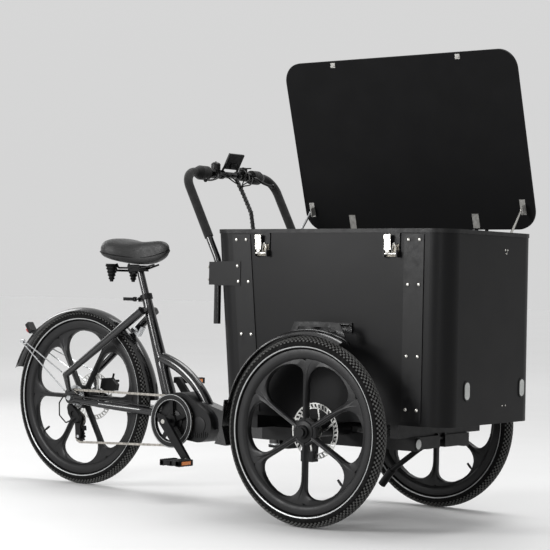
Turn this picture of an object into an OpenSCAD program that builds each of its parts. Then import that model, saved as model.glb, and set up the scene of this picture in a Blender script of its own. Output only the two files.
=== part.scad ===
// Three-wheeled electric cargo bicycle. Millimetres, +X forward, +Y left, +Z up.
// Everything is laid out from the point on the ground under the rear axle.

/* [Wheels] */
// Rear tyre radius
rear_r = 329.5; // [300:0.5:360]
// Front tyre radius
front_r = 303.5; // [280:0.5:330]
// Tyre section diameter
tyre_d = 50; // [40:1:60]
// Distance between the rear axle and the front axle line
wheelbase = 1333; // [1250:1:1400]
// Distance between the two front wheels
track = 780; // [740:1:840]
// Number of spokes in each wheel
spokes = 6; // [5:1:8]

/* [Cargo box] */
// Rear face of the box at its top edge
box_rear = 839; // [800:1:880]
// Front face of the box
box_front = 1777; // [1650:1:1850]
// Width of the box
box_w = 550; // [500:1:620]
// Height of the top edge above the ground
box_top = 950; // [850:1:1000]
// Height of the underside of the floor above the ground
box_bottom = 336; // [310:1:380]
// Thickness of the box walls
box_wall = 6; // [4:0.5:10]
// Radius of the upright corners
box_corner = 67; // [40:1:90]
// Forward slope of the rear face, in degrees
box_lean = 5.31; // [0:0.01:12]

/* [Lid] */
// Lid length along the box
lid_len = 937; // [850:1:1000]
// Lid depth across the box
lid_depth = 608; // [560:1:640]
// Lid thickness
lid_t = 9; // [5:0.5:16]
// Lean of the open lid from the vertical, in degrees
lid_tilt = 16.5; // [0:0.5:30]
// Swing from open to closed, in degrees
lid_travel = 73.5; // [60:0.5:110]

/* [Drive] */
// Chain pitch
pitch = 12.7; // [12.7]
// Chainring teeth
ring_teeth = 44; // [38:1:48]
// Teeth on the sprocket that the chain runs on
cog_teeth = 14; // [11:1:24]
// Teeth on each derailleur pulley
pulley_teeth = 11; // [9:1:13]
// Crank length
crank_len = 175; // [165:1:180]
// Angle of the right crank below the horizontal, in degrees
crank_angle = 50; // [0:1:360]

/* [Seat] */
// Seat post diameter
post_d = 27.2; // [25.4:0.1:31.6]
// Saddle width
saddle_w = 200; // [150:1:240]

/* [Steering] */
// Distance of the steering pivot ahead of the rear axle
pivot_x = 930; // [900:1:960]
// Handlebar tube diameter
bar_d = 24; // [22:0.1:25.4]
// Width of the handlebar between the leg centres
bar_w = 500; // [460:1:560]
// Height of the top of the handlebar
bar_top = 1155; // [1100:1:1250]

/* [Hidden] */
$fn = 64;
black = [0.05, 0.05, 0.055];
paint = [0.06, 0.06, 0.065];
grey = [0.17, 0.17, 0.175];
pale = [0.62, 0.63, 0.62];
silver = [0.76, 0.77, 0.78];
steel = [0.55, 0.56, 0.58];
rubber = [0.03, 0.03, 0.03];
red = [0.65, 0.04, 0.03];
gap = 0.3;
lap = 1.5;

tyre_r = tyre_d / 2;
half_track = track / 2;
half_w = box_w / 2;
box_h = box_top - box_bottom;
rear_face = function(z) box_rear + tan(box_lean) * (box_top - z);

axle = [0, rear_r];
crank = [495, 271];
guide = [40, 247];
tension = [44, 186];
chain_y = -58;
ring_r = pitch / 2 / sin(180 / ring_teeth);
cog_r = pitch / 2 / sin(180 / cog_teeth);
pulley_r = pitch / 2 / sin(180 / pulley_teeth);
motor_a = [515, 292, 82];
motor_b = [605, 262, 62];

seat_foot = [449, 0, 297];
seat_head = [309, 0, 706];
seat_axis = (seat_head - seat_foot) / norm(seat_head - seat_foot);
seat_at = function(z) seat_foot + seat_axis * (z - seat_foot[2]) / seat_axis[2];

lever_pin = seat_at(713) + [-26, -34, -8];

hinge_y = 279;
lid_x0 = 844;
lid_edge = 19;
strut_x = [877, 1741];
strut_foot = [48, 800];
strut_top_h = 90;
strut_off = 18;
strut_head = [hinge_y - sin(lid_tilt) * strut_top_h - cos(lid_tilt) * strut_off,
    box_top + cos(lid_tilt) * strut_top_h - sin(lid_tilt) * strut_off];
latch_x = [1060, 1573];

bar_x = 848;
bar_back = 0.52;
bar_bend_z = 845;
bar_head = [bar_x - bar_back * (bar_top - bar_bend_z), bar_top];

guard_at = [-3, 297];
guard_r = 371;
guard_end = 159;
mid_x = (lid_x0 + lid_len + guard_at[0] + guard_r * cos(guard_end)) / 2;

// ---- helpers ----

// Straight round bar between two points, straight or tapered.
module rod(a, b, r, r2 = undef) {
    d = b - a;
    translate(a)
    rotate([0, acos(d[2] / norm(d)), atan2(d[1], d[0])])
    cylinder(h = norm(d), r1 = r, r2 = is_undef(r2) ? r : r2);
}

// Quarter-bend style corner of a tube at p, turning from direction u to v.
module elbow(p, u, v, bend_r, r) {
    turn = acos(u * v);
    n = (v - u * (u * v)) / sin(turn);
    c = p - u * bend_r * tan(turn / 2) + n * bend_r;
    z = cross(-n, u);
    multmatrix([[-n[0], u[0], z[0], c[0]], [-n[1], u[1], z[1], c[1]],
        [-n[2], u[2], z[2], c[2]], [0, 0, 0, 1]])
    rotate_extrude(angle = turn) translate([bend_r, 0]) circle(r);
}

unit = function(v) v / norm(v);
bend_cut = function(p, i, bend_r) (i == 0 || i == len(p) - 1) ? 0
    : bend_r * tan(acos(unit(p[i] - p[i - 1]) * unit(p[i + 1] - p[i])) / 2);

// Tube through a list of points, with every corner bent to one radius.
module bent_tube(p, bend_r, r) {
    for (i = [0 : len(p) - 2]) {
        d = unit(p[i + 1] - p[i]);
        a = max(0, bend_cut(p, i, bend_r) - lap);
        b = max(0, bend_cut(p, i + 1, bend_r) - lap);
        rod(p[i] + d * a, p[i + 1] - d * b, r);
    }
    for (i = [1 : 1 : len(p) - 2]) {
        elbow(p[i], unit(p[i] - p[i - 1]), unit(p[i + 1] - p[i]), bend_r, r + 0.15);
    }
}

// Turns a shape that is drawn in the XY plane upright, so that it lies in XZ across Y.
module upright(y0, y1) {
    translate([0, y1, 0]) rotate([90, 0, 0]) linear_extrude(y1 - y0) children();
}

// Round bar along Y.
module across(x, z, y0, y1, r) {
    translate([x, y1, z]) rotate([90, 0, 0]) cylinder(h = y1 - y0, r = r);
}

// Round bar along X.
module along(y, z, x0, x1, r) {
    translate([x0, y, z]) rotate([0, 90, 0]) cylinder(h = x1 - x0, r = r);
}

module block(x0, x1, y0, y1, z0, z1) {
    translate([x0, y0, z0]) cube([x1 - x0, y1 - y0, z1 - z0]);
}

module both_sides() {
    children();
    mirror([0, 1, 0]) children();
}

turn90 = function(d) [-d[1], d[0]];
// Ends of the straight that touches two circles; a negative radius is passed on the other side.
tangent = function(a, ra, b, rb) let (
    d = unit(b - a), c = (ra - rb) / norm(b - a), n = d * c + turn90(d) * sqrt(1 - c * c))
    [a + n * ra, b + n * rb];

// Outline round two circles.
module link_outline(a, ra, b, rb) {
    top = tangent(a, ra, b, rb);
    low = tangent(b, rb, a, ra);
    polygon([a, top[0], top[1], b, low[0], low[1]]);
    translate(a) circle(ra);
    translate(b) circle(rb);
}

// Ring of a belt round one circle, from the angle of p to the angle of q, clockwise for s = 1.
module arc_band(c, r, p, q, s, w, steps = 10) {
    a0 = atan2(p[1] - c[1], p[0] - c[0]);
    a1 = atan2(q[1] - c[1], q[0] - c[0]);
    sweep = s > 0 ? -((a0 - a1 + 720) % 360) : (a1 - a0 + 720) % 360;
    edge = function(rad) [for (i = [0 : steps]) let (a = a0 + sweep * i / steps)
        c + rad * [cos(a), sin(a)]];
    out = edge(r + w / 2);
    inn = edge(r - w / 2);
    polygon(concat(out, [for (i = [steps : -1 : 0]) inn[i]]));
}

module straight_band(p, q, w) {
    d = unit(q - p);
    n = turn90(d) * w / 2;
    polygon([p + n, q + n, q - n, p - n]);
}

// Toothed disc outline with a pitch radius and a tooth count.
module teeth(n, r) {
    polygon([for (i = [0 : n - 1], k = [0 : 3])
        let (a = 360 / n * (i + [0.06, 0.34, 0.5, 0.66][k] - 0.5), q = [-3.4, 1.9, 2.4, 1.9][k])
        (r + q) * [cos(a), sin(a)]]);
}

// ---- rear frame ----

module motor_outline(grow = 0) {
    link_outline([motor_a[0], motor_a[1]], motor_a[2] + grow, [motor_b[0], motor_b[1]],
        motor_b[2] + grow);
}

module half_stays() {
    rod([440, 37, 290], [330, 40, 298], 14.5, 15);
    translate([330, 40, 298]) sphere(15.3);
    rod([330, 40, 298], [150, 70, 311], 15, 12);
    translate([150, 70, 311]) sphere(12.3);
    rod([150, 70, 311], [26, 75.8, 320.5], 12, 8.5);
    rod([318, 36, 664], [-18, 80, 414], 17, 12);
    translate([-18, 80, 414]) sphere(12.6);
    rod([-18, 80, 414], [-3, 76, 352], 12, 8.5);
    upright(67.5, 75.5)
    union() {
        translate(axle) circle(24);
        polygon([[-22, 330], [-26, 352], [-6, 366], [26, 350], [62, 336], [62, 312], [8, 306]]);
    }
}

module main_frame() color(paint) {
    difference() {
        union() {
            rod(seat_foot, seat_head, 27, 18);
            translate([313, 0, 153]) rotate([90, 0, 0]) rotate([0, 0, 29])
            rotate_extrude(angle = 50) translate([347.7, 0]) circle(21);
            upright(-28, 28) polygon([[560, 340], [600, 345], [690, 320], [800, 290],
                [905, 287], [905, 229], [805, 230], [691, 255], [640, 240], [600, 262]]);
            translate([pivot_x, 0, 218]) cylinder(h = 70, r = 32);
            both_sides() half_stays();
            across(318, 664, -38, 38, 12.5);
            across(345, 300, -44, 44, 9);
            upright(-34, 34) polygon([[400, 262], [452, 250], [462, 330], [404, 316]]);
        }
        rod(seat_at(330), seat_at(760), post_d / 2 + 0.05);
        translate([pivot_x, 0, 200]) cylinder(h = 100, r = 22);
        upright(-60, 60) motor_outline(gap);
        both_sides() across(0, rear_r, 60, 90, 6);
        both_sides() across(0, rear_r, 75.5, 96, 11.3);
        upright(-28 + 5, 28 - 5)
        polygon([[650, 300], [800, 280], [880, 278], [880, 238], [800, 240], [690, 266]]);
    }
}

module motor() color(black) {
    difference() {
        union() {
            upright(-50, 50) motor_outline();
            across(crank[0], crank[1], -52, 54, 34);
        }
        across(crank[0], crank[1], -60, 60, 9.05);
        across(576, 318, 47, 55, 3);
        across(612, 230, 47, 55, 3);
    }
}

module rear_axle() color(steel) {
    across(0, rear_r, -84, 98, 6);
    both_sides() across(0, rear_r, 75.5, 84, 11);
}

module seat_clamp() color(black) {
    difference() {
        union() {
            rod(seat_at(704), seat_at(722), 23);
            translate(seat_at(713)) rotate([0, -18.9, 0]) translate([-32, -12, -8]) cube([20, 24, 16]);
        }
        rod(seat_at(690), seat_at(740), 18.2);
        translate(seat_at(713)) rotate([0, -18.9, 0]) translate([-34, -1, -10]) cube([24, 2, 20]);
        rod(seat_foot, seat_head, 27.2, 18.2);
    }
    translate(lever_pin) {
        rotate([-90, 0, 0]) cylinder(h = 22, r = 3);
        translate([0, 0, -3.9]) cylinder(h = 7.8, r = 5.5);
        translate([0, 0, -9]) cylinder(h = 18, r = 2.5);
    }
    across(lever_pin[0], lever_pin[2], 12, 20, 6);
}

module seat_clamp_lever() color(black) {
    translate(lever_pin) difference() {
        union() {
            translate([0, 0, -8]) cylinder(h = 16, r = 8);
            translate([0, 0, -6]) linear_extrude(12)
            polygon([[3, -7], [-30, -2], [-62, 4], [-64, 10], [-58, 11], [-28, 6], [-2, 5]]);
        }
        translate([0, 0, -10]) cylinder(h = 20, r = 2.55);
        translate([0, 0, -4.2]) cylinder(h = 8.4, r = 8.5);
    }
}

module head_bearings() color(steel) {
    difference() {
        for (z = [212.6, 276]) {
            translate([pivot_x, 0, z]) cylinder(h = 17.4, r = 22);
        }
        translate([pivot_x, 0, 200]) cylinder(h = 100, r = 12.05);
    }
    difference() {
        for (z = [212.6, 288]) {
            translate([pivot_x, 0, z]) cylinder(h = 5.4, r = 30);
        }
        translate([pivot_x, 0, 200]) cylinder(h = 100, r = 22);
    }
}

module rear_caliper() color(black) {
    difference() {
        union() {
            upright(50, 67.5) polygon([[36, 356], [44, 400], [92, 404], [120, 380], [116, 356], [60, 350]]);
        }
        across(0, rear_r, 58.4, 61.6, 91);
        block(30, 66, 40, 58.4, 340, 360);
    }
    across(104, 392, 67.5, 80, 5);
    rod([92, 60, 400], [96, 62, 420], 4);
}

// Crowned sheet section of a mudguard.
module guard_section(r, w) {
    intersection() {
        difference() {
            translate([r - 44, 0]) circle(44);
            translate([r - 44, 0]) circle(42.2);
        }
        translate([r - 26, -w / 2]) square([40, w]);
    }
}

module rear_mudguard() color(black) {
    translate([guard_at[0], 0, guard_at[1]]) rotate([90, 0, 0]) rotate([0, 0, 6])
    rotate_extrude(angle = guard_end - 6) guard_section(guard_r, 62);
}

module mudguard_stays() color(black) {
    both_sides() {
        rod([-16, 89, 356], [-296, 35, 524], 2.6);
        rod([-34, 87, 424], [-296, 35, 536], 2.6);
        along(35, 530, -304, -288, 7);
    }
    upright(-9, 9) polygon([[300, 600], [276, 566], [240, 592], [246, 600], [276, 580], [290, 604]]);
}

module tail_light() color(red) {
    translate([-276, 0, 552]) rotate([0, -36, 0]) {
        translate([-4, -16, 8]) cube([24, 32, 46]);
        translate([-12, 0, 31]) rotate([0, 90, 0]) cylinder(h = 10, r = 13);
    }
}

chain_path = [
    [axle, cog_r], [crank, ring_r], [tension, pulley_r], [guide, -pulley_r]];
chain_n = len(chain_path);
chain_leg = function(i) let (a = chain_path[i], b = chain_path[(i + 1) % chain_n])
    tangent(a[0], a[1], b[0], b[1]);

module chain_outline(w) {
    for (i = [0 : chain_n - 1]) {
        leg = chain_leg(i);
        before = chain_leg((i + chain_n - 1) % chain_n);
        straight_band(leg[0], leg[1], w);
        arc_band(chain_path[i][0], abs(chain_path[i][1]), before[1], leg[0],
            chain_path[i][1] > 0 ? 1 : -1, w, i == 1 ? 24 : 10);
    }
}

module chain() color(steel) {
    for (y = [-3.3, 1.8]) {
        upright(chain_y + y, chain_y + y + 1.5) chain_outline(8.4);
    }
    for (i = [0, 1]) {
        leg = chain_leg(i);
        d = unit(leg[1] - leg[0]);
        upright(chain_y - 2.4, chain_y + 2.4) straight_band(leg[0] + d * 60, leg[1] - d * 110, 5);
    }
}

module derailleur() color(black) {
    difference() {
        union() {
            upright(-74, -66) link_outline(guide, 14, tension, 12);
            upright(-53, -50) link_outline(guide, 12, tension, 12);
            for (p = [guide, tension]) {
                across(p[0], p[1], -70, -50, 3.5);
            }
            upright(-66, -50) polygon([[58, 226], [64, 226], [66, 208], [60, 208]]);
        }
    }
    difference() {
        upright(-92, -76) polygon([[8, 306], [26, 300], [46, 286], [66, 262], [62, 244], [44, 236],
            [26, 246], [8, 270], [2, 292]]);
        across(34, 270, -94, -88, 12);
    }
    across(12, 298, -92, -75.5, 8);
    across(guide[0], guide[1], -77, -70, 9);
}

module rear_cables() color(rubber) {
    bent_tube([[44, -94.7, 254], [36, -102, 248], [10, -104, 236], [-30, -98, 262], [-38, -92, 308],
        [-12, -92, 340], [60, -86, 336], [200, -62, 327], [372, -44, 314]], 10, 2.5);
}

// ---- seat ----

module seat_post() color(black) {
    rod(seat_at(540), seat_at(822), post_d / 2);
    translate(seat_at(820)) rotate([0, -18.9, 0]) cylinder(h = 10, r = 14, center = true);
}

module saddle() color(black) {
    half = saddle_w / 2;
    intersection() {
        upright(-half, half) polygon([[122, 886], [130, 915], [150, 930], [175, 932], [205, 932],
            [259, 922], [320, 921], [371, 924], [398, 918], [412, 897], [404, 866], [380, 848],
            [330, 832], [260, 831], [200, 838], [150, 850], [130, 868]]);
        translate([0, 0, 800]) linear_extrude(200) polygon([[122, -40], [126, -66], [140, -88],
            [165, -100], [205, -100], [240, -80], [270, -56], [300, -40], [350, -27],
            [398, -22], [413, -10], [413, 10], [398, 22], [350, 27], [300, 40], [270, 56],
            [240, 80], [205, 100], [165, 100], [140, 88], [126, 66], [122, 40]]);
    }
}

module saddle_frame() color(steel) {
    both_sides() {
        bent_tube([[186, 34, 836], [192, 30, 820], [300, 22, 820], [352, 12, 833]], 7, 3.5);
        translate([186, 60, 768]) cylinder(h = 66, r1 = 6, r2 = 23);
    }
    block(176, 196, -62, 62, 806, 814);
    difference() {
        union() {
            block(186, 262, -9, 9, 806, 814);
            block(236, 296, -30, 30, 823, 830);
            block(240, 292, -26, 26, 808, 817);
            block(244, 262, -14, 14, 800, 812);
        }
        rod(seat_at(700), seat_at(832), post_d / 2 + 0.1);
        translate(seat_at(820)) rotate([0, -18.9, 0]) cylinder(h = 10.4, r = 14.2, center = true);
    }
}

// ---- drive ----

module chainring() color(steel) {
    y0 = chain_y - 1.2;
    difference() {
        union() {
            upright(y0, y0 + 2.4) translate(crank) difference() {
                teeth(ring_teeth, ring_r);
                circle(72);
            }
            upright(-64, y0 + 1.2) translate(crank) for (i = [0 : 4]) {
                rotate(i * 72 - crank_angle) translate([12, -8]) square([70, 16]);
            }
            across(crank[0], crank[1], -72, -56.8, 24);
        }
        across(crank[0], crank[1], -80, -50, 9.02);
    }
}

module chain_guard() color(black) {
    upright(-67, -64) translate(crank) difference() {
        circle(97);
        circle(74);
    }
}

module crank_arms() color(black) {
    across(crank[0], crank[1], -112, 112, 9);
    end = crank_len * [cos(crank_angle), -sin(crank_angle)];
    for (s = [-1, 1]) {
        tip = crank - s * end;
        y0 = s > 0 ? 98 : -112;
        upright(y0, y0 + 14) link_outline(crank, 18, tip, 13);
        across(tip[0], tip[1], s > 0 ? 112 : -205, s > 0 ? 205 : -112, 4.5);
        across(tip[0], tip[1], s > 0 ? 204 : -208, s > 0 ? 208 : -204, 7);
    }
}

module pedal(s) color(black) {
    tip = crank - s * crank_len * [cos(crank_angle), -sin(crank_angle)];
    y0 = s > 0 ? 118 : -203;
    translate([tip[0], 0, tip[1]]) difference() {
        union() {
            difference() {
                translate([-46, s > 0 ? 127 : -203, -12]) cube([92, 76, 24]);
                for (x = [-36, 14]) {
                    translate([x, s > 0 ? 137 : -193, -20]) cube([22, 56, 40]);
                }
            }
            across(0, 0, y0, y0 + 85, 11);
        }
        across(0, 0, y0 - 10, y0 + 100, 4.55);
    }
}

module pedal_right() pedal(-1);
module pedal_left() pedal(1);

module cassette() color(silver) {
    difference() {
        union() {
            upright(chain_y - 1.1, chain_y + 1.1) translate(axle) teeth(cog_teeth, cog_r);
            for (i = [0 : 2]) {
                across(0, rear_r, -53.5 + i * 3.6, -51.7 + i * 3.6, cog_r + 6 + i * 5);
            }
            across(0, rear_r, -66, -44, 17);
        }
        across(0, rear_r, -70, -40, 6.05);
    }
}

module pulley(p) color(black) {
    difference() {
        upright(chain_y - 1.1, chain_y + 1.1) translate(p) teeth(pulley_teeth, pulley_r);
        across(p[0], p[1], -70, -50, 3.58);
    }
}

module guide_pulley() pulley(guide);
module tension_pulley() pulley(tension);

// ---- wheels ----

// Outline of one window between two spokes: straight spokes and rounded outer corners.
module spoke_window(r_in, r_out, n) {
    steps = 18;
    half = 180 / n;
    reach = function(t) r_in + (r_out - r_in) * t;
    round_off = function(t, from, e) t < from ? 1
        : pow(max(0, 1 - pow((t - from) / (1 - from), e)), 1 / e);
    polygon(concat(
        [for (i = [0 : steps]) let (t = 1 - pow(1 - i / steps, 1.6), r = reach(t),
            a = (half - asin(8 / r)) * round_off(t, 0.5, 2.3))
            r * [cos(a), sin(a)]],
        [for (i = [steps - 1 : -1 : 0]) let (t = 1 - pow(1 - i / steps, 1.6), r = reach(t),
            a = -(half - asin(8 / r)) * round_off(t, 0.72, 2.3))
            r * [cos(a), sin(a)]]));
}

module rim_profile(r) {
    polygon([[r - 77, -11], [r - 66, -18], [r - 42, -18], [r - 42, -14.5], [r - 47, -12],
        [r - 52, -4], [r - 52, 4], [r - 47, 12], [r - 42, 14.5], [r - 42, 18], [r - 66, 18],
        [r - 77, 11], [r - 75, 0]]);
}

// Cast wheel with its disc rotor, standing in XZ, centred on its own axle.
module mag_wheel(r, hub_r, hub_y0, hub_y1, bore_r, rotor_y, turn) {
    difference() {
        union() {
            rotate([90, 0, 0]) rotate_extrude($fn = 96) rim_profile(r);
            upright(-9, 9) difference() {
                circle(r - 70);
                circle(20);
                for (i = [0 : spokes - 1]) {
                    rotate(i * 360 / spokes + turn) spoke_window(46, r - 78, spokes);
                }
            }
            across(0, 0, hub_y0, hub_y1, hub_r);
            across(0, 0, -13, 13, 36);
            across(0, 0, rotor_y - 4, rotor_y + 1, 26);
            upright(rotor_y - 1, rotor_y + 1) {
                difference() {
                    circle(90);
                    circle(74);
                }
                for (i = [0 : 5]) {
                    rotate(i * 60 + 12) translate([18, -4]) square([59, 8]);
                }
            }
        }
        across(0, 0, hub_y0 - 1, hub_y1 + 1, bore_r);
    }
}

module tyre(r) {
    rotate([90, 0, 0]) rotate_extrude($fn = 96)
    intersection() {
        difference() {
            translate([r - tyre_r, 0]) circle(tyre_r);
            translate([r - tyre_r, 0]) circle(tyre_r - 4.5);
        }
        translate([r - 41.5, -40]) square([60, 80]);
    }
}

module rear_wheel() color(black) {
    translate([0, 0, rear_r]) mag_wheel(rear_r, 24, -42, 64, 6.05, 60, 30);
}

module rear_tyre() color(rubber) translate([0, 0, rear_r]) tyre(rear_r);

module front_wheel() color(black) {
    translate([wheelbase, half_track, front_r]) mirror([0, 1, 0])
    mag_wheel(front_r, 22, -27, 51, 10.05, 50, 0);
}

module front_left_wheel() front_wheel();
module front_right_wheel() mirror([0, 1, 0]) front_wheel();
module front_left_tyre() color(rubber) translate([wheelbase, half_track, front_r]) tyre(front_r);
module front_right_tyre() color(rubber) translate([wheelbase, -half_track, front_r]) tyre(front_r);

// ---- front carriage ----

module chassis() color(paint) {
    difference() {
        union() {
            across(wheelbase, front_r, -334, 334, 20);
            both_sides() {
                across(wheelbase, front_r, 330, 420, 10);
                across(wheelbase, front_r, 417.6, 424, 15);
                block(985, 1600, 135, 165, 246, 290);
                block(1310, 1356, 135, 165, 280, 310);
            }
            block(985, 1015, -165, 165, 250, 290);
            block(1570, 1600, -165, 165, 250, 290);
            for (x = [1000, 1560]) {
                block(x, x + 30, -250, 250, 290, box_bottom);
            }
            for (z = [204, 294]) {
                block(pivot_x, 1000, -34, 34, z, z + 8);
                translate([pivot_x, 0, z]) cylinder(h = 8, r = 34);
            }
            block(976, 1000, -34, 34, 204, 302);
            both_sides() block(1574, 1598, 16, 26, 262, 296);
        }
        translate([pivot_x, 0, 190]) cylinder(h = 130, r = 12);
        block(1569, 1601, -16, 16, 240, 290);
        across(1586, 281, -60, 60, 5);
    }
}

module steering_pin() color(steel) {
    translate([pivot_x, 0, 196]) cylinder(h = 114, r = 11.98);
    translate([pivot_x, 0, 196]) cylinder(h = 8, r = 19);
    translate([pivot_x, 0, 302]) cylinder(h = 8, r = 19);
}

module battery() color(black) {
    block(1050, 1300, -60, 60, 270, box_bottom);
}

module plan(x0, x1, w, r) {
    translate([x0 + r, -w]) square([x1 - x0 - 2 * r, 2 * w]);
    translate([x0, r - w]) square([x1 - x0, 2 * w - 2 * r]);
    for (x = [x0 + r, x1 - r], y = [r - w, w - r]) {
        translate([x, y]) circle(r);
    }
}

// The box's shape, drawn in by an inset: an upright front part and a leaning rear part.
module box_body(inset, z0, z1) {
    r = box_corner - inset;
    intersection() {
        union() {
            translate([0, 0, z0]) linear_extrude(z1 - z0)
            plan(box_rear + 220, box_front - inset, half_w - inset, r);
            translate([box_rear, 0, box_top]) rotate([0, -box_lean, 0])
            translate([0, 0, -box_h - 60]) linear_extrude(box_h + 120)
            plan(inset, 480, half_w - inset, r);
        }
        block(box_rear - 40, box_front + 40, -half_w - 40, half_w + 40, z0, z1);
    }
}

module box_shell() color(grey) {
    difference() {
        box_body(0, box_bottom, box_top);
        box_body(box_wall, box_bottom - 5, box_top + 5);
    }
}

module box_floor() color(black) {
    box_body(box_wall, box_bottom, box_bottom + 12);
}

module box_rim() color(black) {
    difference() {
        box_body(-2.5, box_top - 11, box_top + 2);
        box_body(box_wall + 2.5, box_top - 20, box_top + 10);
        difference() {
            box_body(0, box_top - 20, box_top);
            box_body(box_wall, box_top - 25, box_top + 5);
        }
    }
}

module side_strip(x0, x1, lean) {
    z0 = 348;
    z1 = 934;
    move = function(z) tan(lean) * (917 - z);
    upright(-half_w - 3, -half_w) polygon([[x0 + move(z1), z1], [x1 + move(z1), z1],
        [x1 + move(z0), z0], [x0 + move(z0), z0]]);
}

module corner_strips() color(black) {
    both_sides() {
        side_strip(1617, 1690, 0);
        side_strip(931, 1006, box_lean);
        for (x = [1634, 1675], z = [917, 777, 553, 386]) {
            across(x, z, -half_w - 5.4, -half_w - 3, 5);
        }
        for (p = [[948, 917], [989, 917], [989, 777], [948, 602], [989, 602], [948, 386],
            [989, 386]]) {
            across(p[0] + tan(box_lean) * (917 - p[1]), p[1], -half_w - 5.4, -half_w - 3, 5);
        }
    }
}

module latch_base(x) {
    difference() {
        block(x - 29, x + 29, -half_w - 4, -half_w, 862, 938.7);
    }
    both_sides_of(x) block(x + 22, x + 27, -half_w - 16, -half_w - 4, 862, 882);
    along(-half_w - 11, 872, x - 27, x + 27, 2.5);
}

module both_sides_of(x) {
    children();
    translate([2 * x, 0, 0]) mirror([1, 0, 0]) children();
}

module box_fittings() color(black) {
    for (x = latch_x) {
        latch_base(x);
    }
    for (x = [1045, 1552]) {
        block(x - 26, x + 26, half_w, half_w + 4, 890, 938);
        difference() {
            union() {
                both_sides_of(x) block(x + 14, x + 26, half_w + 2.6, 304.2, 930, 937);
                both_sides_of(x) block(x + 14, x + 26, 300.2, 304.2, 930, 984);
                both_sides_of(x) along(295, 979, x + 14, x + 26, 8);
            }
            along(295, 979, x - 40, x + 40, 4);
        }
        along(295, 979, x - 26, x + 26, 4);
    }
    for (i = [0, 1]) {
        x = strut_x[i];
        wall_x = i == 0 ? box_rear - 4 : box_front + 4;
        x0 = i == 0 ? wall_x : x + 5;
        x1 = i == 0 ? x - 5 : wall_x;
        intersection() {
            union() {
                along(strut_foot[0], strut_foot[1], min(x0, x - 5), max(x1, x + 5), 4);
                block(x0, x1, strut_foot[0] - 9, strut_foot[0] + 9, strut_foot[1] - 8,
                    strut_foot[1] + 8);
            }
            box_body(box_wall, 700, 900);
        }
    }
}

module handlebar_clamps() color(black) {
    both_sides() difference() {
        union() {
            block(820, 880, 236, 264, 764, 842);
            block(870, 968, half_w, half_w + 5, 762, 844);
            block(856, 884, 236, half_w + 5, 764, 842);
            for (z = [782, 824]) {
                along(250, z, 812, 824, 6);
            }
        }
        bent_tube(bar_points, 62, bar_d / 2);
        mirror([0, 1, 0]) side_strip(931, 1006, box_lean);
        box_body(0, 700, 900);
    }
    both_sides() for (p = [[961, 777], [956, 829]]) {
        across(p[0], p[1], half_w + 5, half_w + 7.4, 5);
    }
}

module front_mudguards() color(black) {
    both_sides() {
        translate([1329, 376, 303.5]) rotate([90, 0, 0]) rotate([0, 0, 64])
        rotate_extrude(angle = 102) guard_section(325, 64);
        upright(346, 406) polygon([[1013, 388], [1010, 388], [998, 300], [974, 242], [1020, 238],
            [1022, 242], [1004, 302]]);
        difference() {
            upright(339, 343) polygon([[1222, 606], [1245, 651], [1422, 651], [1445, 606],
                [1420, 606], [1404, 636], [1262, 636], [1246, 606]]);
        }
        block(1250, 1290, half_w + 5.4, 341, 640, 645);
        block(1376, 1416, half_w + 5.4, 341, 640, 645);
        block(1240, 1426, half_w, half_w + 5.4, 620, 651);
    }
}

module front_calipers() color(black) {
    both_sides() difference() {
        block(1290, 1336, 324, 356, 205, 262);
        across(wheelbase, front_r, 338.4, 341.6, 91);
        block(1280, 1350, 341, 360, 240, 270);
    }
    both_sides() block(1304, 1336, 322, 330, 250, 283.4);
}

module front_reflectors() color(silver) {
    for (y = [-150, 194]) {
        block(box_front, box_front + 4, y - 20, y + 20, 414, 479);
    }
    along(-150, 268, 1600, 1606, 20);
}

module stand() color(black) {
    across(1586, 281, -15.6, 15.6, 8.7);
    across(1586, 281, -26, 26, 4.95);
    rod([1586, 0, 281], [1513, 0, 240], 8.4, 9);
    rod([1513, 0, 240], [1405, 0, 161], 9);
    translate([1513, 0, 240]) sphere(9.6);
    rod([1405, 0, 161], [1366, 0, 110], 13);
}

module cable_bundle() color(rubber) {
    bent_tube([[705, 20, 1140], [740, 15, 1090], [790, 0, 1020], [818, -20, 950], [834, -20, 800],
        [858, -20, 400], [872, -20, 321], [999, -20, 321]], 40, 9);
}

leg_dir = unit([bar_head[0] - bar_x, 0, bar_head[1] - bar_bend_z]);
bar_points = [[bar_x, -bar_w / 2, 632], [bar_x, -bar_w / 2, bar_bend_z],
    [bar_head[0], -bar_w / 2, bar_head[1]], [bar_head[0], bar_w / 2, bar_head[1]],
    [bar_x, bar_w / 2, bar_bend_z], [bar_x, bar_w / 2, 632]];

module handlebar() color(black) {
    bent_tube(bar_points, 62, bar_d / 2);
}

module bar_foam() color(rubber) {
    foam_from = [bar_x, bar_w / 2, bar_bend_z] + leg_dir * 92;
    both_sides() difference() {
        union() {
            bent_tube([foam_from, [bar_head[0], bar_w / 2, bar_head[1]],
                [bar_head[0], 125, bar_head[1]]], 62, 15.5);
            translate([bar_head[0], 125, bar_head[1]]) rotate([-90, 0, 0])
            cylinder(h = 40, r = 25);
            translate([bar_head[0], 165, bar_head[1]]) rotate([-90, 0, 0])
            cylinder(h = 22, r1 = 25, r2 = 16);
        }
        bent_tube(bar_points, 62, bar_d / 2);
    }
}

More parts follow.
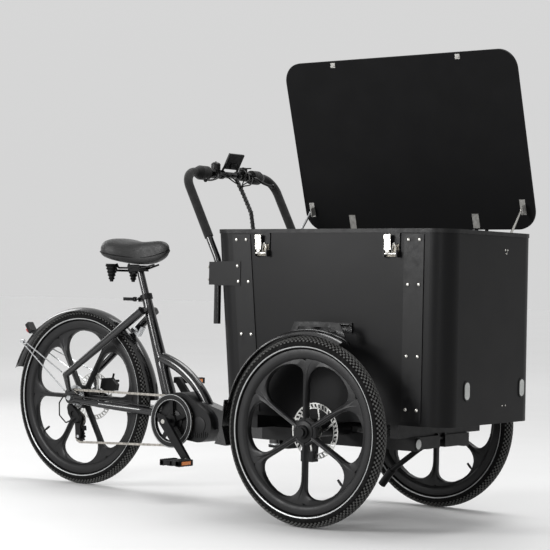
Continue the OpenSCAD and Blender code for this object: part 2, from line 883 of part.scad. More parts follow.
module bar_controls() color(black) {
    bx = bar_head[0];
    difference() {
        union() {
            both_sides() {
                across(bx, bar_top, 92, 112, 17);
                block(bx + 6, bx + 34, 92, 112, bar_top - 10, bar_top + 6);
            }
            across(bx, bar_top, 66, 84, 16);
            translate([bx + 4, 74, bar_top + 14]) cylinder(h = 12, r = 16);
            translate([bx + 4, 74, bar_top + 20]) cylinder(h = 13, r = 4);
            translate([bx - 2, -74, bar_top + 12]) cylinder(h = 20, r = 17);
            across(bx, bar_top, -84, -64, 16);
        }
        across(bx, bar_top, -200, 200, bar_d / 2);
        both_sides() translate([bx + 26, 102, bar_top - 20]) cylinder(h = 40, r = 3);
        both_sides() block(bx + 17, bx + 40, 88, 116, bar_top - 7.2, bar_top + 3.2);
    }
    both_sides() translate([bx + 26, 102, bar_top - 10]) cylinder(h = 16, r = 2.95);
}

module display() color(black) {
    translate([bar_head[0] + 20, 0, bar_top + 48]) rotate([0, -62, 0]) {
        translate([-30, -42, -5]) cube([60, 84, 10]);
    }
    difference() {
        union() {
            across(bar_head[0], bar_top, -50, -38, 16);
            across(bar_head[0], bar_top, 38, 50, 16);
            both_sides() block(bar_head[0] - 6, bar_head[0] + 6, 38, 44, bar_top + 12, bar_top + 40);
        }
        across(bar_head[0], bar_top, -200, 200, bar_d / 2);
    }
}

module brake_lever() color(silver) {
    bx = bar_head[0];
    difference() {
        union() {
            translate([bx + 26, 102, bar_top - 7]) cylinder(h = 10, r = 8);
            translate([bx + 26, 102, bar_top - 5]) linear_extrude(6)
            polygon([[-4, -6], [26, -2], [40, 14], [42, 92], [34, 92], [30, 20], [18, 8], [-4, 6]]);
            translate([bx + 64, 194, bar_top - 2]) sphere(8);
        }
        translate([bx + 26, 102, bar_top - 20]) cylinder(h = 40, r = 3);
    }
}

module left_brake_lever() brake_lever();
module right_brake_lever() mirror([0, 1, 0]) brake_lever();

module shift_lever() color(black) {
    bx = bar_head[0];
    difference() {
        union() {
            translate([bx + 4, 74, bar_top + 26.3]) cylinder(h = 5, r = 13);
            translate([bx + 4, 74, bar_top + 26.3]) linear_extrude(4)
            polygon([[0, -6], [34, -4], [38, 0], [34, 4], [0, 6]]);
        }
        translate([bx + 4, 74, bar_top]) cylinder(h = 60, r = 4.05);
    }
}

// ---- lid ----

// Places a shape drawn with the lid's inner face in XZ and its free edge upward.
module on_lid() {
    translate([0, hinge_y, box_top]) rotate([lid_tilt, 0, 0]) children();
}

module lid() color(grey) {
    x1 = lid_x0 + lid_len;
    h1 = lid_edge + lid_depth;
    r = box_corner;
    on_lid() upright(0, lid_t) {
        translate([lid_x0 + r, lid_edge]) square([lid_len - 2 * r, lid_depth]);
        translate([lid_x0, lid_edge + r]) square([lid_len, lid_depth - 2 * r]);
        for (x = [lid_x0 + r, x1 - r], h = [lid_edge + r, h1 - r]) {
            translate([x, h]) circle(r);
        }
    }
}

module lid_fittings() color(silver) {
    on_lid() {
        for (x = [1058, 1564]) {
            block(x - 9, x + 9, -2.5, 0, 604, 621);
            block(x - 7, x + 7, -10, -2.5, 609, 611);
        }
        for (x = [1045, 1552]) {
            block(x - 13, x + 13, -2, 0, 25, 75);
            block(x - 13.5, x + 13.5, lid_t, lid_t + 3, 24, 80);
        }
        for (x = strut_x) {
            block(x + 5.6, x + 8.6, -24, 0, 76, 106);
            block(x - 12, x + 8.6, -2, 0, 70, 122);
        }
    }
    for (x = [1045, 1552]) {
        difference() {
            union() {
                along(295, 979, x - 13.5, x + 13.5, 7);
                on_lid() block(x - 13.5, x + 13.5, lid_t, 22, 24, 36);
            }
            along(295, 979, x - 40, x + 40, 4.06);
            on_lid() block(x - 40, x + 40, 0, lid_t, 0, 100);
        }
    }
}

strut_dir = unit([0, strut_head[0] - strut_foot[0], strut_head[1] - strut_foot[1]]);
strut_cyl = 172;

module strut_cylinder(i) color(black) {
    a = [strut_x[i], strut_foot[0], strut_foot[1]];
    difference() {
        union() {
            rod(a + strut_dir * 20, a + strut_dir * strut_cyl, 9);
            rod(a, a + strut_dir * 22, 4.5);
            along(a[1], a[2], a[0] - 4.6, a[0] + 4.6, 9);
        }
        along(a[1], a[2], a[0] - 10, a[0] + 10, 4.06);
        rod(a + strut_dir * 40, a + strut_dir * 200, 4.06);
    }
}

module strut_rod(i) color(silver) {
    a = [strut_x[i], strut_foot[0], strut_foot[1]];
    b = [strut_x[i], strut_head[0], strut_head[1]];
    rod(a + strut_dir * 120, b - strut_dir * 2, 4);
    translate(b) sphere(5);
}

module rear_strut_cylinder() strut_cylinder(0);
module rear_strut_rod() strut_rod(0);
module front_strut_cylinder() strut_cylinder(1);
module front_strut_rod() strut_rod(1);

module latch(x) color(silver) {
    y = -half_w - 11;
    difference() {
        union() {
            along(y, 872, x - 21.4, x + 21.4, 5);
            block(x - 21, x + 21, y - 5, y - 1, 872, 934);
            block(x - 15, x + 15, y - 9, y - 5, 918, 932);
        }
        along(y, 872, x - 30, x + 30, 2.55);
    }
}

module rear_latch() latch(latch_x[0]);
module front_latch() latch(latch_x[1]);

module part() {
    main_frame();
    motor();
    rear_mudguard();
    mudguard_stays();
    tail_light();
    rear_caliper();
    rear_axle();
    seat_clamp();
    head_bearings();
    chain();
    derailleur();
    rear_cables();
    seat_post();
    saddle();
    saddle_frame();
    seat_clamp_lever();
    chainring();
    chain_guard();
    crank_arms();
    pedal_right();
    pedal_left();
    rear_wheel();
    rear_tyre();
    cassette();
    guide_pulley();
    tension_pulley();
    chassis();
    steering_pin();
    battery();
    box_shell();
    box_floor();
    box_rim();
    corner_strips();
    box_fittings();
    handlebar_clamps();
    front_mudguards();
    front_calipers();
    front_reflectors();
    cable_bundle();
    handlebar();
    bar_foam();
    bar_controls();
    display();
    lid();
    lid_fittings();
    rear_strut_cylinder();
    rear_strut_rod();
    front_strut_cylinder();
    front_strut_rod();
    rear_latch();
    front_latch();
    right_brake_lever();
    left_brake_lever();
    shift_lever();
    stand();
    front_right_wheel();
    front_right_tyre();
    front_left_wheel();
    front_left_tyre();
}

translate([-mid_x, 0, 0]) part();
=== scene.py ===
"""Looks for the cargo tricycle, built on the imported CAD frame.

Blender works in metres; the lengths written here are millimetres from the ground under the
rear axle, +X forward, +Y left, +Z up, as in the CAD. The function at() converts them.
"""
import math

import bpy
from mathutils import Matrix, Vector


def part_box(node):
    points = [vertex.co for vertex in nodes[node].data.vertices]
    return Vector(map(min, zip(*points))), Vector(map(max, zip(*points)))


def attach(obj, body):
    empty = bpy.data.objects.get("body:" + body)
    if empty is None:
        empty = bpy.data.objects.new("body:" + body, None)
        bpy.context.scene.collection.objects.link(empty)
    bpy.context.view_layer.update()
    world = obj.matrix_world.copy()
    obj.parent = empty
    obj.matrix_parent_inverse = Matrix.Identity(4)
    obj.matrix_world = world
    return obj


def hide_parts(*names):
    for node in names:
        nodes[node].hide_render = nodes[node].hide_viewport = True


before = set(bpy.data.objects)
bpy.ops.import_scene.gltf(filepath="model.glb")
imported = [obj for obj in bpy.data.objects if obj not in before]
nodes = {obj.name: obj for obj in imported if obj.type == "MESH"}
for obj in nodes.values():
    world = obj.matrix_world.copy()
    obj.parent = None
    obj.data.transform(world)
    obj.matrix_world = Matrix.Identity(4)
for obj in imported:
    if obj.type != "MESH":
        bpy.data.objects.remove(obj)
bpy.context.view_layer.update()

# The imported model's origin lies MID ahead of the rear axle, whose round end is AXLE_END_R wide.
AXLE_END_R = 11
MID = -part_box("rear_axle")[0][0] * 1000 - AXLE_END_R
FULL_TURN = 2 * math.pi


def at(x, y, z):
    return Vector(((x - MID) / 1000, y / 1000, z / 1000))


# ---------------------------------------------------------------- camera
YAW, PITCH, ROLL = (math.radians(a) for a in (37.267, -0.355, 1.142))
IMAGE_PX, FOCAL_PX, SENSOR_MM = 550, 1783.07, 36
EYE = (4672.0, -4955.8, 763.6)
forward = Vector((-math.sin(YAW) * math.cos(PITCH), math.cos(YAW) * math.cos(PITCH),
                  -math.sin(PITCH)))
level = Vector((math.cos(YAW), math.sin(YAW), 0))
upward = level.cross(forward)
right = level * math.cos(ROLL) + upward * math.sin(ROLL)
upward = upward * math.cos(ROLL) - level * math.sin(ROLL)
camera = bpy.data.objects.new("camera", bpy.data.cameras.new("camera"))
bpy.context.collection.objects.link(camera)
camera.data.sensor_width = SENSOR_MM
camera.data.lens = FOCAL_PX / IMAGE_PX * SENSOR_MM
camera.matrix_world = Matrix.Translation(at(*EYE)) @ Matrix(
    (right, upward, -forward)).transposed().to_4x4()
bpy.context.scene.camera = camera


# ---------------------------------------------------------------- materials
def material(name, colour, rough, metal=0.0, grain=0.0, grain_size=0.002, mottle=0.12,
             mottle_size=0.05, rough_spread=0.08, coat=0.0, sheen=0.0, wear=None, pits=0.0,
             specular=0.5):
    """A shader whose colour, roughness and relief all vary by noise in object space.

    Sizes are metres. wear is a second colour that shows in patches; pits adds round cells.
    """
    m = bpy.data.materials.new(name)
    m.use_nodes = True
    tree = m.node_tree
    make, link = tree.nodes.new, tree.links.new
    shader = tree.nodes["Principled BSDF"]
    shader.inputs["Metallic"].default_value = metal
    shader.inputs["Coat Weight"].default_value = coat
    shader.inputs["Coat Roughness"].default_value = 0.12
    shader.inputs["Specular IOR Level"].default_value = specular
    if sheen:
        shader.inputs["Sheen Weight"].default_value = sheen
        shader.inputs["Sheen Roughness"].default_value = 0.4
    place = make("ShaderNodeTexCoord").outputs["Object"]

    def noise(size, detail=4.0):
        n = make("ShaderNodeTexNoise")
        n.inputs["Scale"].default_value = 1 / size
        n.inputs["Detail"].default_value = detail
        link(place, n.inputs["Vector"])
        return n.outputs["Fac"]

    def spread(value, low, high):
        r = make("ShaderNodeMapRange")
        r.inputs["From Min"].default_value = 0.3
        r.inputs["From Max"].default_value = 0.7
        r.inputs["To Min"].default_value = low
        r.inputs["To Max"].default_value = high
        link(value, r.inputs["Value"])
        return r.outputs["Result"]

    broad = noise(mottle_size)
    mix = make("ShaderNodeMix")
    mix.data_type = "RGBA"
    mix.inputs["A"].default_value = (*[c * (1 - mottle) for c in colour], 1)
    mix.inputs["B"].default_value = (*[min(1, c * (1 + mottle)) for c in colour], 1)
    link(spread(broad, 0, 1), mix.inputs["Factor"])
    tint = mix.outputs["Result"]
    if wear:
        scuff = make("ShaderNodeMix")
        scuff.data_type = "RGBA"
        scuff.inputs["B"].default_value = (*wear, 1)
        link(tint, scuff.inputs["A"])
        edge = make("ShaderNodeMapRange")
        edge.inputs["From Min"].default_value = 0.52
        edge.inputs["From Max"].default_value = 0.72
        edge.inputs["To Max"].default_value = 0.5
        link(noise(0.012, 8.0), edge.inputs["Value"])
        link(edge.outputs["Result"], scuff.inputs["Factor"])
        tint = scuff.outputs["Result"]
    link(tint, shader.inputs["Base Color"])
    link(spread(noise(mottle_size * 0.4), max(0.03, rough - rough_spread), rough + rough_spread),
         shader.inputs["Roughness"])
    if grain:
        height = noise(grain_size, 2.0)
        if pits:
            cells = make("ShaderNodeTexVoronoi")
            cells.inputs["Scale"].default_value = 1 / pits
            link(place, cells.inputs["Vector"])
            add = make("ShaderNodeMath")
            add.operation = "ADD"
            link(height, add.inputs[0])
            link(cells.outputs["Distance"], add.inputs[1])
            height = add.outputs["Value"]
        bump = make("ShaderNodeBump")
        bump.inputs["Strength"].default_value = grain
        bump.inputs["Distance"].default_value = 0.0006
        link(height, bump.inputs["Height"])
        link(bump.outputs["Normal"], shader.inputs["Normal"])
    return m


PAINT = material("gloss_black_paint", (0.002, 0.002, 0.0025), 0.2, grain=0.05, grain_size=0.004,
                 coat=0.6, mottle=0.1, rough_spread=0.04, specular=0.35)
SATIN = material("satin_black_metal", (0.003, 0.003, 0.0033), 0.4, grain=0.1, grain_size=0.0015,
                 mottle=0.15, specular=0.2)
CAST = material("cast_wheel_black", (0.005, 0.005, 0.0054), 0.45, grain=0.12, grain_size=0.001,
                mottle=0.1, specular=0.28)
PLASTIC = material("moulded_black_plastic", (0.003, 0.003, 0.0033), 0.45, grain=0.2,
                   grain_size=0.0012, pits=0.002, specular=0.25)
GUARD = material("mudguard_plastic", (0.002, 0.002, 0.0022), 0.22, grain=0.03, grain_size=0.01,
                 coat=0.3)
PANEL = material("box_panel_grey", (0.0035, 0.0035, 0.0038), 0.4, grain=0.08, grain_size=0.0009,
                 mottle=0.05, mottle_size=0.3, rough_spread=0.03, specular=0.14)
LID = material("lid_panel_matt", (0.003, 0.003, 0.0033), 0.7, grain=0.1, grain_size=0.0009,
               mottle=0.06, mottle_size=0.25, rough_spread=0.04, specular=0.1)
FLOOR = material("floor_panel_tread", (0.03, 0.03, 0.03), 0.7, grain=0.6, grain_size=0.003,
                 pits=0.006)
STEEL = material("plated_steel", (0.55, 0.56, 0.57), 0.28, metal=1, grain=0.08,
                 grain_size=0.0006, mottle=0.1)
DARK_STEEL = material("tarnished_steel", (0.14, 0.13, 0.11), 0.35, metal=1, grain=0.2,
                      grain_size=0.001, mottle=0.3, mottle_size=0.01)
ROTOR = material("brushed_rotor_steel", (0.62, 0.62, 0.6), 0.3, metal=1, grain=0.2,
                 grain_size=0.0005, mottle=0.08)
CHAIN = material("oiled_chain_steel", (0.36, 0.34, 0.31), 0.34, metal=1, grain=0.2,
                 grain_size=0.0008, mottle=0.35, mottle_size=0.01)
SILVER = material("polished_silver", (0.5, 0.49, 0.46), 0.24, metal=1, grain=0.05,
                  grain_size=0.0008, mottle=0.06)
RUBBER = material("tyre_rubber", (0.002, 0.002, 0.002), 0.75, grain=0.35, grain_size=0.0009,
                  mottle=0.25, mottle_size=0.02, wear=(0.014, 0.0135, 0.013), specular=0.1)
# painted highlight: the tread knobs are the tyre's own rubber, given a lighter colour than the tyre
# skin so that their tops read as lit, while the darker skin between them stands for the shade in
# the gaps
KNOB_HIGHLIGHT = material("tread_knob_painted_highlight", (0.05, 0.05, 0.048), 0.62, grain=0.2, grain_size=0.0009,
                mottle=0.2, mottle_size=0.01, specular=0.5)
ZINC = material("zinc_plate", (0.32, 0.315, 0.3), 0.42, metal=0.5, grain=0.15, grain_size=0.0008,
                mottle=0.25, mottle_size=0.012)
LINE = material("reflective_line", (0.3, 0.305, 0.305), 0.35, metal=0.3, grain=0.3,
                grain_size=0.0006, mottle=0.12, mottle_size=0.01)
FOAM = material("grip_foam", (0.008, 0.008, 0.008), 0.85, grain=0.8, grain_size=0.0012,
                pits=0.0016, sheen=0.15, specular=0.25)
COVER = material("saddle_cover", (0.006, 0.006, 0.006), 0.5, grain=0.5, grain_size=0.0011,
                 pits=0.0022, sheen=0.08, specular=0.4)
SLEEVE = material("cable_sleeve", (0.003, 0.003, 0.003), 0.4, grain=0.15, grain_size=0.001,
                  specular=0.3)
PALE = material("pale_grey_cover", (0.42, 0.43, 0.42), 0.4, grain=0.1, grain_size=0.001)
LENS = material("clear_reflector", (0.8, 0.82, 0.84), 0.12, grain=0.4, grain_size=0.0015,
                pits=0.003, coat=0.8, mottle=0.1, mottle_size=0.01)
RED = material("red_lens", (0.28, 0.012, 0.01), 0.15, grain=0.3, grain_size=0.0015, pits=0.003,
               coat=0.8)
AMBER = material("amber_reflector", (0.75, 0.2, 0.015), 0.15, grain=0.4, grain_size=0.0015,
                 pits=0.003, coat=0.8)
SCREEN = material("dark_screen", (0.008, 0.009, 0.011), 0.08, grain=0.01, grain_size=0.01,
                  coat=1.0, mottle=0.05)

CAD_LOOKS = {
    "main_frame": PAINT, "motor": PLASTIC, "rear_mudguard": GUARD, "mudguard_stays": STEEL,
    "rear_caliper": SATIN, "rear_axle": STEEL, "seat_clamp": SATIN, "head_bearings": STEEL,
    "derailleur": SATIN, "rear_cables": SLEEVE, "seat_post": PAINT, "saddle_frame": SATIN,
    "seat_clamp_lever": SATIN, "chainring": SATIN, "crank_arms": SATIN, "cassette": STEEL,
    "guide_pulley": PLASTIC, "tension_pulley": PLASTIC, "chassis": SATIN, "steering_pin": STEEL,
    "battery": PLASTIC, "box_shell": PANEL, "box_floor": FLOOR, "box_rim": PLASTIC,
    "corner_strips": SATIN, "box_fittings": SATIN, "handlebar_clamps": SATIN,
    "front_mudguards": GUARD, "front_calipers": SATIN, "handlebar": PAINT,
    "bar_controls": PLASTIC, "lid": LID, "lid_fittings": ZINC, "rear_strut_cylinder": SATIN,
    "front_strut_cylinder": SILVER, "rear_strut_rod": STEEL, "front_strut_rod": SILVER,
    "shift_lever": PLASTIC, "stand": SATIN, "rear_latch": SILVER, "front_latch": SILVER,
    "right_brake_lever": SATIN, "left_brake_lever": SATIN, "display": SCREEN,
    "front_reflectors": LENS, "tail_light": RED, "pedal_right": PLASTIC, "pedal_left": PLASTIC,
    "chain": CHAIN, "chain_guard": PLASTIC, "cable_bundle": SLEEVE, "bar_foam": FOAM,
    "saddle": COVER,
}
for name, look in CAD_LOOKS.items():
    for slot in nodes[name].material_slots:
        slot.material = look


# ---------------------------------------------------------------- mesh helpers
BEVEL_ANGLE, SHARP_ANGLE = math.radians(35), math.radians(38)


def piece(name, verts, faces, look, body, slot=None, smooth=True, bevel=0.0, subdiv=0,
          segments=2):
    """Makes one object from points in millimetres and rides it on a body."""
    mesh = bpy.data.meshes.new(name)
    mesh.from_pydata([at(*v) for v in verts], [], faces)
    mesh.validate()
    mesh.materials.append(look)
    for p in mesh.polygons:
        p.use_smooth = smooth
    o = bpy.data.objects.new(name, mesh)
    bpy.context.collection.objects.link(o)
    if bevel:
        b = o.modifiers.new("bevel", "BEVEL")
        b.width = bevel / 1000
        b.segments = segments
        b.limit_method = "ANGLE"
        b.angle_limit = BEVEL_ANGLE
        b.harden_normals = False
    if subdiv:
        s = o.modifiers.new("subdivision", "SUBSURF")
        s.levels = s.render_levels = subdiv
    if smooth and not subdiv:
        o.data.set_sharp_from_angle(angle=SHARP_ANGLE)
    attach(o, body)
    return o


class Shape:
    """Collects vertices and faces, so that one object can hold many parts."""

    def __init__(self):
        self.verts, self.faces = [], []

    def add(self, verts, faces):
        k = len(self.verts)
        self.verts += [tuple(v) for v in verts]
        self.faces += [tuple(i + k for i in f) for f in faces]
        return self

    def grid(self, rows, closed_u=False, closed_v=False, caps=False):
        """Skins rows of points; u runs along a row, v from row to row."""
        n, m = len(rows), len(rows[0])
        faces = []
        for i in range(n if closed_v else n - 1):
            for j in range(m if closed_u else m - 1):
                a, b = i * m + j, i * m + (j + 1) % m
                c, d = (i + 1) % n * m + (j + 1) % m, (i + 1) % n * m + j
                faces.append((a, b, c, d))
        if caps:
            faces += [tuple(range(m))[::-1], tuple((n - 1) * m + j for j in range(m))]
        return self.add([p for row in rows for p in row], faces)

    def block(self, x0, x1, y0, y1, z0, z1, turn=None, about=None):
        """Box between two corners, turned about a point if asked."""
        pts = [Vector((x, y, z)) for x in (x0, x1) for y in (y0, y1) for z in (z0, z1)]
        if turn is not None:
            pts = [turn @ (p - about) + about for p in pts]
        return self.add(pts, [(0, 1, 3, 2), (4, 6, 7, 5), (0, 4, 5, 1), (2, 3, 7, 6),
                              (0, 2, 6, 4), (1, 5, 7, 3)])

    def tube(self, points, radius, sides=12, closed=False, flat=1.0):
        """Sweeps a circle along points; radius is a number or one number per point."""
        pts = [Vector(p) for p in points]
        n = len(pts)
        rows, side = [], None
        for i, p in enumerate(pts):
            ahead = pts[(i + 1) % n] if closed or i < n - 1 else p
            behind = pts[i - 1] if closed or i > 0 else p
            d = (ahead - behind).normalized()
            if side is None:
                side = d.orthogonal().normalized()
            side = (side - d * side.dot(d)).normalized()
            other = d.cross(side)
            r = radius[i] if isinstance(radius, (list, tuple)) else radius
            rows.append([p + (side * math.cos(t) + other * math.sin(t) * flat) * r
                         for t in (FULL_TURN * k / sides for k in range(sides))])
        return self.grid(rows, closed_u=True, closed_v=closed, caps=not closed)

    def turned(self, profile, centre, axis="Y", sides=48):
        """Revolves (radius, along) points about an axis through centre."""
        rows = []
        for k in range(sides):
            t = FULL_TURN * k / sides
            c, s = math.cos(t), math.sin(t)
            if axis == "Y":
                rows.append([(centre[0] + r * c, centre[1] + a, centre[2] + r * s)
                             for r, a in profile])
            elif axis == "X":
                rows.append([(centre[0] + a, centre[1] + r * c, centre[2] + r * s)
                             for r, a in profile])
            else:
                rows.append([(centre[0] + r * c, centre[1] + r * s, centre[2] + a)
                             for r, a in profile])
        return self.grid(rows, closed_v=True)

    def plate(self, outline, y0, y1):
        """Flat plate across Y with an outline of (x, z) points."""
        n = len(outline)
        pts = [(x, y, z) for y in (y0, y1) for x, z in outline]
        faces = [tuple(range(n)), tuple(range(2 * n - 1, n - 1, -1))]
        faces += [(i, i + n, (i + 1) % n + n, (i + 1) % n) for i in range(n)]
        return self.add(pts, faces)

    def make(self, name, look, body, **kw):
        return piece(name, self.verts, self.faces, look, body, **kw)


def smooth_path(points, steps=6):
    """Catmull-Rom curve through points."""
    p = [Vector(q) for q in points]
    p = [2 * p[0] - p[1]] + p + [2 * p[-1] - p[-2]]
    out = []
    for i in range(1, len(p) - 2):
        for k in range(steps):
            t = k / steps
            a, b, c, d = p[i - 1:i + 3]
            out.append(0.5 * (2 * b + (c - a) * t + (2 * a - 5 * b + 4 * c - d) * t * t
                              + (3 * b - a - 3 * c + d) * t ** 3))
    return out + [p[-2]]


def bent_path(points, bend_r, steps=8):
    """Straight runs with every corner rounded to one radius, as the CAD bends its tubes."""
    p = [Vector(q) for q in points]
    out = [p[0]]
    for a, b, c in zip(p, p[1:], p[2:]):
        u, v = (b - a).normalized(), (c - b).normalized()
        turn = u.angle(v)
        cut = bend_r * math.tan(turn / 2)
        n = (v - u * u.dot(v)).normalized()
        centre = b - u * cut + n * bend_r
        for k in range(steps + 1):
            t = turn * k / steps
            out.append(centre - n * bend_r * math.cos(t) + u * bend_r * math.sin(t))
    return out + [p[-1]]


# ---------------------------------------------------------------- wheels
SPOKES = 6
# CAD wheel, CAD tyre, body, centre, tyre radius, rotor's y, hub radius and the hub's two ends
WHEELS = (("rear_wheel", "rear_tyre", "rear_wheel", (0, 0, 329.5), 329.5, 60, 24, -42, 64),
          ("front_right_wheel", "front_right_tyre", "front_right_wheel", (1333, -390, 303.5),
           303.5, 50, 22, -27, 51),
          ("front_left_wheel", "front_left_tyre", "front_left_wheel", (1333, 390, 303.5),
           303.5, -50, 22, 27, -51))
TYRE_R = 25.0  # half the tyre's section
# lean round the section, half size across and along, share of a pitch, skew
TREAD_ROWS = (
    (0.0, 3.4, 4.3, 0.0, 0.0), (16.0, 2.9, 4.0, 0.5, 0.5), (-16.0, 2.9, 4.0, 0.5, -0.5),
    (32.0, 2.9, 4.0, 0.0, -0.4), (-32.0, 2.9, 4.0, 0.0, 0.4), (48.0, 3.0, 4.3, 0.5, 0.3),
    (-48.0, 3.0, 4.3, 0.5, -0.3), (64.0, 2.8, 3.4, 0.0, 0.0), (-64.0, 2.8, 3.4, 0.0, 0.0))
KNOB_BASE_R, KNOB_SINK, KNOB_RISE, KNOB_TAPER = 24.4, -3.4, 0.55, 0.84
WINDOW_INNER_R, HUB_EDGE_R, HALF_SPOKE = 46.0, 24.0, 8


def tyre_tread(shape, centre, r, count):
    """Rows of small blocks round the crown and the shoulders of a tyre."""
    cx, cy, cz = centre
    for lean, half_across, half_along, phase, skew in TREAD_ROWS:
        for k in range(count):
            t = FULL_TURN * (k + phase) / count
            corners = []
            for lift, grow in ((KNOB_SINK, 1.0), (KNOB_RISE, KNOB_TAPER)):
                for da, dl in ((-1, -1), (1, -1), (1, 1), (-1, 1)):
                    a = math.radians(lean) + da * half_across * grow / KNOB_BASE_R
                    rad = r - TYRE_R + (KNOB_BASE_R + lift) * math.cos(a)
                    y = (KNOB_BASE_R + lift) * math.sin(a)
                    th = t + (dl * half_along * grow + skew * da * half_across) / r
                    corners.append((cx + rad * math.cos(th), cy + y, cz + rad * math.sin(th)))
            shape.add(corners, [(4, 5, 6, 7), (0, 1, 5, 4), (1, 2, 6, 5), (2, 3, 7, 6),
                                (3, 0, 4, 7)])


# on each side of a window, how far out its edge is straight before the corner rounds off
WINDOW_SIDES = ((1, 0.5), (-1, 0.72))
CORNER_POWER, HALF_SECTOR = 2.3, math.pi / SPOKES


def spoke_window(r_in, r_out, steps=20):
    """Opening between two straight spokes with rounded outer corners, as (radius, angle)."""
    edge = []
    for side, start in WINDOW_SIDES:
        pts = []
        for k in range(steps + 1):
            t = 1 - (1 - k / steps) ** 1.6
            r = r_in + (r_out - r_in) * t
            full = 1.0
            if t > start:
                bow = ((t - start) / (1 - start)) ** CORNER_POWER
                full = max(0.0, 1 - bow) ** (1 / CORNER_POWER)
            pts.append((r, side * (HALF_SECTOR - math.asin(HALF_SPOKE / r)) * full))
        edge.append(pts)
    return edge[0] + edge[1][::-1]


def polar(centre, r, angle, y):
    """Point at a radius and an angle round a wheel's centre."""
    return (centre[0] + r * math.cos(angle), centre[1] + y, centre[2] + r * math.sin(angle))


def sector_border(window, r_in, r_out, far):
    """For each point of a window, the point of its sector's border that it is skinned to."""
    border, steps = [], len(window) // 2
    arc_from = 0.55
    for k, (r, _) in enumerate(window):
        side, start = WINDOW_SIDES[0] if k < steps else WINDOW_SIDES[1]
        t = (r - r_in) / (r_out - r_in)
        if t < 0.02:
            border.append((HUB_EDGE_R, side * HALF_SECTOR * (1 if t > 0 else 0.9)))
        elif t <= start:
            border.append((r, side * HALF_SECTOR))
        else:
            u = (t - start) / (1 - start)
            first = r_in + (r_out - r_in) * start
            if u < arc_from:
                border.append((first + (far - first) * u / arc_from, side * HALF_SECTOR))
            else:
                border.append((far, side * HALF_SECTOR * (1 - (u - arc_from) / (1 - arc_from))))
    return border


def spoke_disc(centre, r, turn):
    """Six sectors, each a band of quads from its window's outline out to its border."""
    disc = Shape()
    r_in, r_out, far = WINDOW_INNER_R, r - 78, r - 71
    window = spoke_window(r_in, r_out)
    border = sector_border(window, r_in, r_out, far)
    # y of the surface, and how far it lies from the window to the border
    section = ((-7, 0.0), (-10.5, 0.25), (-8.5, 1.0), (8.5, 1.0), (10.5, 0.25), (7, 0.0))
    n, m, outer_wall = len(window), len(section), 2
    for s in range(SPOKES):
        mid = FULL_TURN * s / SPOKES + turn
        points = [polar(centre, rw + (ro - rw) * share, mid + (aw + (ao - aw) * share), y)
                  for (rw, aw), (ro, ao) in zip(window, border) for y, share in section]
        faces = [(i * m + j, i * m + (j + 1) % m, (i + 1) % n * m + (j + 1) % m,
                  (i + 1) % n * m + j)
                 for i in range(n) for j in range(m) if j != outer_wall]
        disc.add(points, faces)
    return disc


